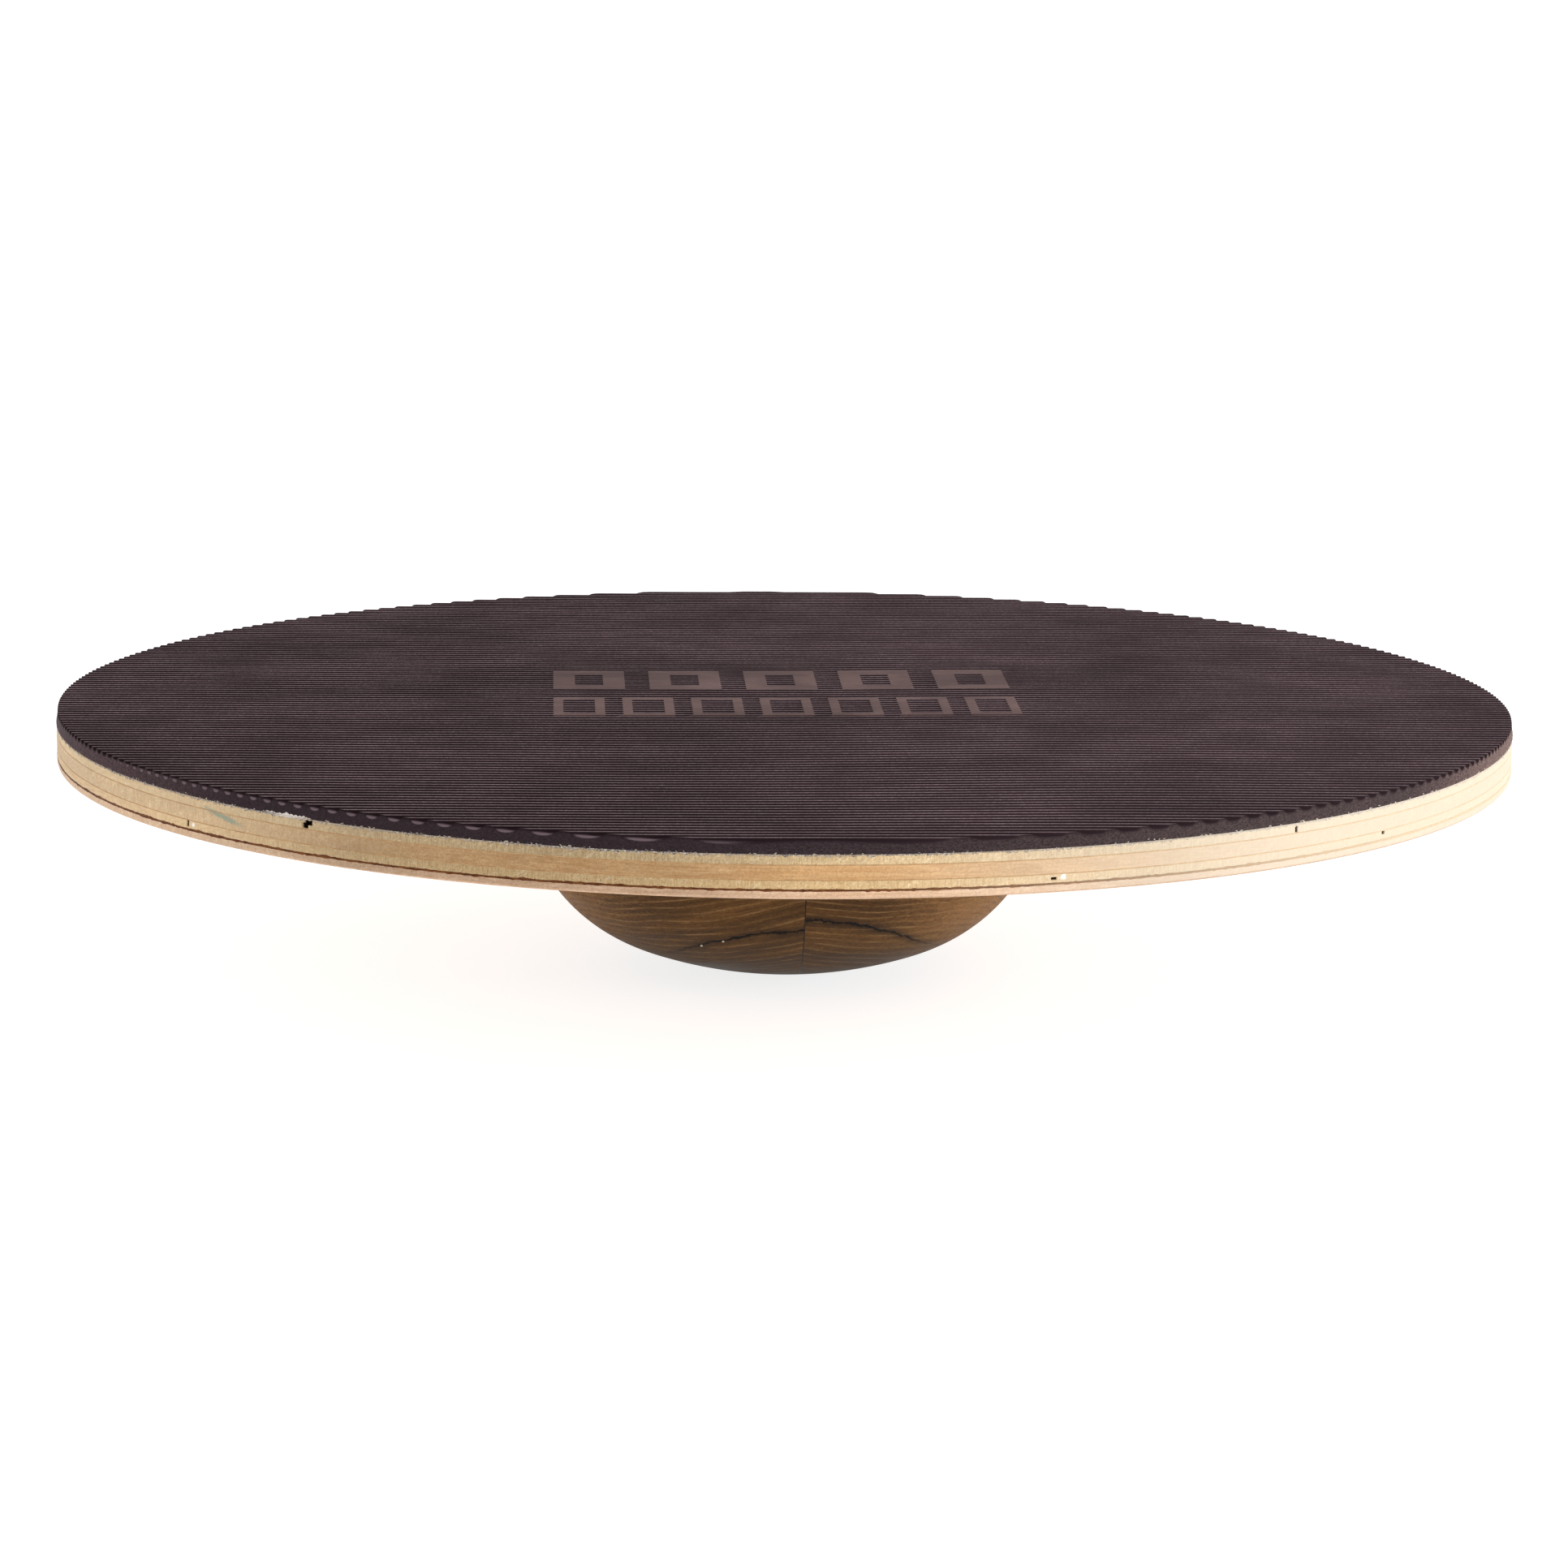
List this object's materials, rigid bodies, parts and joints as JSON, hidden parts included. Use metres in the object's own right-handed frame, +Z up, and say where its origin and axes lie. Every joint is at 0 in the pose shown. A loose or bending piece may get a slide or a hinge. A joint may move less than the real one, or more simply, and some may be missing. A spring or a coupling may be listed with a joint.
{
  "type": "balance board",
  "caption": "Round wooden balance board: a ribbed rubber mat on a layered plywood deck, screwed to a turned hardwood dome that rocks on the floor.",
  "frame": {"origin": "lowest point of the dome, where it touches the floor, on the board's axis", "axes": "+Z up through the middle of the board; +X along the mat's ribs; the seam of the dome is square to X"},
  "size_m": [0.4, 0.4, 0.0754],
  "materials": {
    "mat_rubber": "matte moulded ribs with a faint sheen",
    "contact_glue": "dried, dusty and ragged at the rim",
    "face_veneer": "sanded end grain, pale yellow",
    "core_veneer": "sanded long grain, orange",
    "cross_veneer": "sanded end grain, pale",
    "bottom_veneer": "sanded and lacquered, pinkish",
    "wood_glue": "hard amber glue",
    "dark_glue": "hard dark brown glue",
    "dome_wood": "turned and oiled dark hardwood, satin",
    "screw_steel": "zinc plated"
  },
  "bodies": {
    "root": {"rubber_mat": "mat_rubber", "mat_glue": "contact_glue", "ply_top": "face_veneer", "fine_glue_upper": "wood_glue", "ply_core": "core_veneer", "fine_glue_lower": "wood_glue", "ply_cross": "cross_veneer", "dark_glue_line": "dark_glue", "ply_bottom": "bottom_veneer", "dome_glue": "wood_glue", "dome_block_left": "dome_wood", "dome_block_right": "dome_wood", "dome_seam_glue": "dark_glue", "dome_screws": "screw_steel"}
  },
  "joints": []
}
